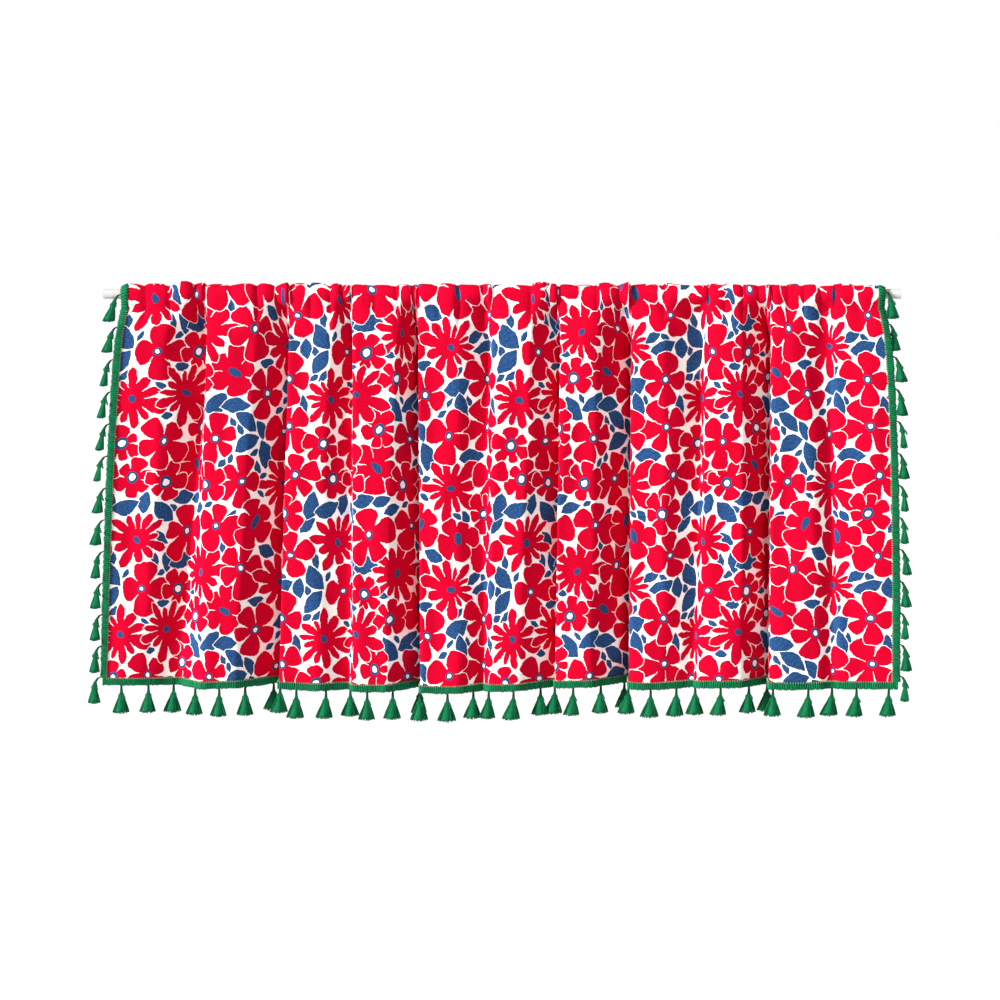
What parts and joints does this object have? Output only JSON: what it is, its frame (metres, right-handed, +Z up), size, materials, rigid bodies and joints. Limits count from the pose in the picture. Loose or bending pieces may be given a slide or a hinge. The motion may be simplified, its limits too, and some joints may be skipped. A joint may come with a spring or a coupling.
{
  "type": "cabinet curtain on a rod",
  "caption": "Gathered cotton curtain with a rod pocket and tassel fringe on its sides and hem, hanging in folds from a plain rod to close the front of a cabinet.",
  "frame": {"origin": "centre of the rod's left end face", "axes": "+X along the rod to its right end, +Y away from the viewer into the cabinet, +Z up; the curtain hangs down along -Z"},
  "size_m": [0.9968, 0.051, 0.5292],
  "materials": {
    "printed_cotton": "plain-woven cotton, printed in red, blue and white",
    "fringe_yarn": "soft twisted yarn",
    "white_enamel": "smooth white enamel"
  },
  "bodies": {
    "root": {"cloth_panel": "printed_cotton", "fringe_bottom": "fringe_yarn", "fringe_left": "fringe_yarn", "fringe_right": "fringe_yarn", "rod": "white_enamel"}
  },
  "joints": []
}
